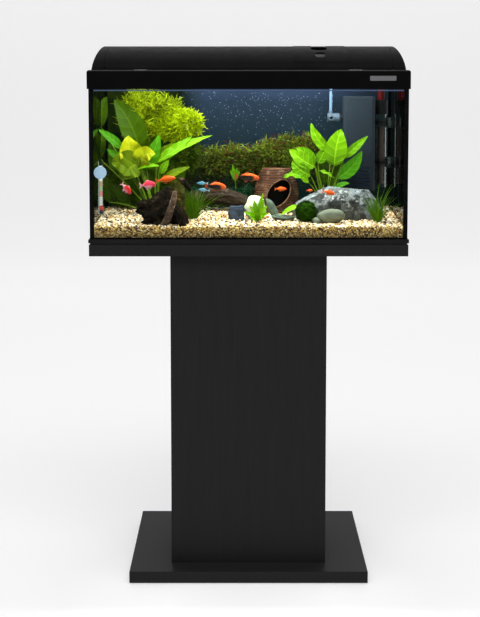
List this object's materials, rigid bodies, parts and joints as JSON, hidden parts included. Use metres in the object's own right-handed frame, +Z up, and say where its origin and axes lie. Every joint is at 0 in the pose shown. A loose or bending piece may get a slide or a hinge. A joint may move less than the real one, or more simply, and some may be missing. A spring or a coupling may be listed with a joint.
{
  "type": "aquarium on stand",
  "caption": "Rectangular planted aquarium with an arched lift-off hood, flaps, filter and heater, on a square-column stand.",
  "frame": {"origin": "centre of the footprint, on the floor under the stand", "axes": "+Z up, +X along the tank to the viewer's right, -Y towards the viewer"},
  "size_m": [0.606, 0.38, 1.0218],
  "materials": {
    "black_board": "satin black laminate",
    "beech": "plain",
    "steel": "zinc plated",
    "felt": "pressed felt",
    "foam": "closed cell foam",
    "black_plastic": "satin",
    "hood_plastic": "satin moulded",
    "glass": "clear float glass",
    "silicone": "black silicone",
    "film": "printed backing",
    "badge_grey": "wordless mark",
    "pump_plastic": "dark blue-grey",
    "blue_foam": "open foam",
    "magnet": "filled plastic",
    "ceramic": "polished",
    "clear_hose": "translucent",
    "heater_glass": "clear",
    "heater_core": "wound",
    "red_plastic": "gloss",
    "clear_rubber": "translucent suction cups",
    "scale": "plain graduated strip",
    "aluminium": "satin",
    "lens": "opal",
    "gravel": "mixed quartz",
    "granite": "speckled",
    "river_stone": "smooth",
    "driftwood": "bark",
    "clay": "fired clay",
    "leaf": "leaf",
    "moss": "moss",
    "fish": "scales"
  },
  "bodies": {
    "tank_and_stand": {"base_glides": "felt", "base_board": "black_board", "column_front_panel": "black_board", "column_rear_panel": "black_board", "column_left_panel": "black_board", "column_right_panel": "black_board", "column_brace": "black_board", "column_dowels": "beech", "stand_screws": "steel", "top_board": "black_board", "levelling_mat": "foam", "tank_base_frame": "black_plastic", "glass_bottom": "glass", "glass_front": "glass", "glass_rear": "glass", "glass_left": "glass", "glass_right": "glass", "silicone_joints": "silicone", "background_sheet": "film", "filter_canister": "pump_plastic", "filter_sponge": "blue_foam", "impeller_shaft": "ceramic", "filter_head": "pump_plastic", "filter_bracket": "pump_plastic", "suction_cups": "clear_rubber", "heater_tube": "heater_glass", "heater_element": "heater_core", "heater_head": "black_plastic", "heater_rings": "black_plastic", "thermometer_tube": "heater_glass", "thermometer_scale": "scale", "thermometer_cup": "clear_rubber", "river_stones": "river_stone", "granite_rock": "granite", "driftwood": "driftwood", "clay_barrel": "clay", "sword_plant_left": "leaf", "sword_plant_right": "leaf", "moss_bush": "moss", "rear_plants": "moss", "low_plants": "leaf", "fish": "fish", "gravel_bed": "gravel"},
    "hood": {"hood_frame": "hood_plastic", "badge": "badge_grey", "hood_end_left": "hood_plastic", "hood_end_right": "hood_plastic", "hood_rear_cover": "hood_plastic", "flap_pins": "steel", "light_housing": "aluminium", "light_lens": "lens", "light_clips": "hood_plastic"},
    "main_flap": {"main_flap": "hood_plastic", "hatch_pins": "steel"},
    "feeding_flap": {"feeding_flap": "hood_plastic", "grip_cup": "hood_plastic"},
    "impeller": {"impeller": "magnet"},
    "nozzle": {"filter_nozzle": "pump_plastic", "air_intake_tube": "clear_hose"},
    "dial": {"heater_dial": "red_plastic"}
  },
  "joints": [
    {"name": "hood_lift", "type": "slide", "parent": "tank_and_stand", "child": "hood", "axis": [0, 0, 1], "range_m": [0, 0.12]},
    {"name": "main_flap_hinge", "type": "hinge", "parent": "hood", "child": "main_flap", "pos_m": [0, 0.07, 1.01507], "axis": [-1, 0, 0], "range_deg": [0, 95]},
    {"name": "feeding_flap_hinge", "type": "hinge", "parent": "main_flap", "child": "feeding_flap", "pos_m": [0.137, -0.02, 1.01978], "axis": [-1, 0, 0], "range_deg": [0, 100]},
    {"name": "impeller_spin", "type": "hinge", "parent": "tank_and_stand", "child": "impeller", "pos_m": [0.226, 0.097, 0.87], "axis": [0, 0, 1], "continuous": true},
    {"name": "nozzle_swivel", "type": "hinge", "parent": "tank_and_stand", "child": "nozzle", "pos_m": [0.172, 0.097, 0.879], "axis": [1, 0, 0], "range_deg": [-25, 25]},
    {"name": "heater_dial_turn", "type": "hinge", "parent": "tank_and_stand", "child": "dial", "pos_m": [0.275, 0.124, 0.92], "axis": [0, 0, 1], "range_deg": [0, 270]}
  ]
}
